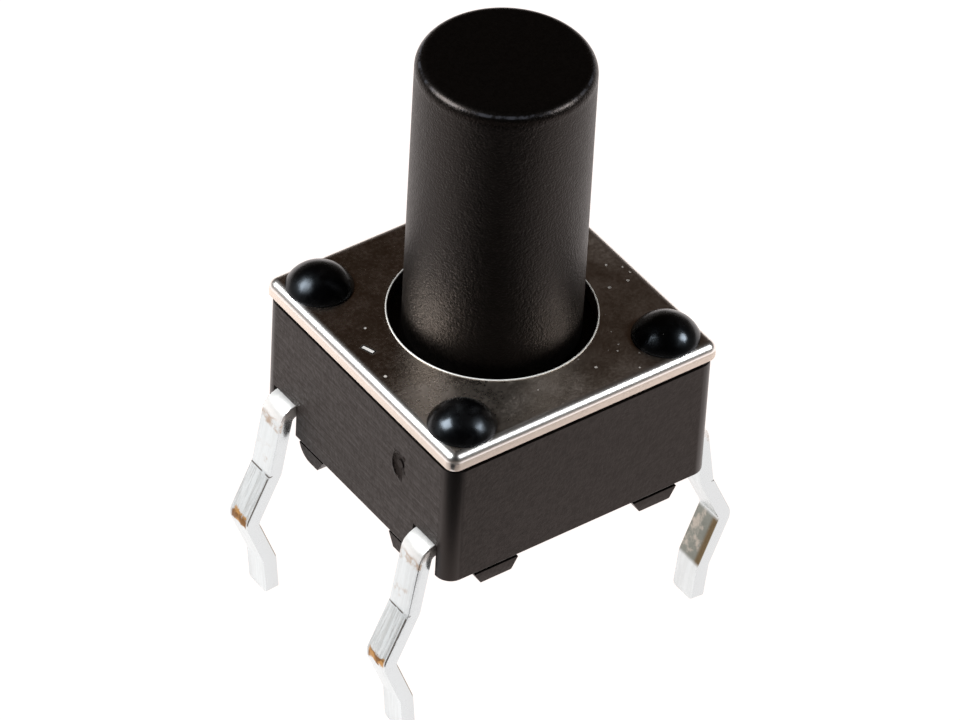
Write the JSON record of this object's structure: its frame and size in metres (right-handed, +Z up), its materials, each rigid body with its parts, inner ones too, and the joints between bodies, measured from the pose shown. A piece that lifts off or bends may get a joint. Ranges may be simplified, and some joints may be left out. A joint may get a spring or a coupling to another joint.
{
  "type": "tactile push button switch",
  "caption": "Square tactile push button switch for a circuit board, with a tall round black plunger, a riveted nickel-plated steel cover and snap-in formed leads.",
  "frame": {"origin": "centre of the four leads on the seating plane, where the feet stand on the circuit board", "axes": "+Z up along the plunger, away from the board; the leads leave the body at +X and -X; the two terminals lie at +Y and -Y"},
  "size_m": [0.0078, 0.006, 0.0127],
  "materials": {
    "base_plastic": "moulded black plastic, satin, with glossy rivet domes",
    "nickel_cover": "bright nickel plating on pressed steel, fine grain",
    "plunger_plastic": "moulded black plastic, fine matte texture, glossy rim",
    "spring_steel": "bright rolled spring steel",
    "tinned_brass": "bright tin plating on brass, brass showing at the knees"
  },
  "bodies": {
    "housing": {"base_housing": "base_plastic", "cover_plate": "nickel_cover", "snap_dome": "spring_steel", "outer_terminal": "tinned_brass", "centre_terminal": "tinned_brass"},
    "plunger": {"plunger": "plunger_plastic"}
  },
  "joints": [
    {"name": "plunger_press", "type": "slide", "parent": "housing", "child": "plunger", "axis": [0, 0, -1], "range_m": [0, 0.00025], "stiffness_N_per_m": 6400, "springref_m": -0.00002, "deforming": ["snap_dome"]}
  ]
}
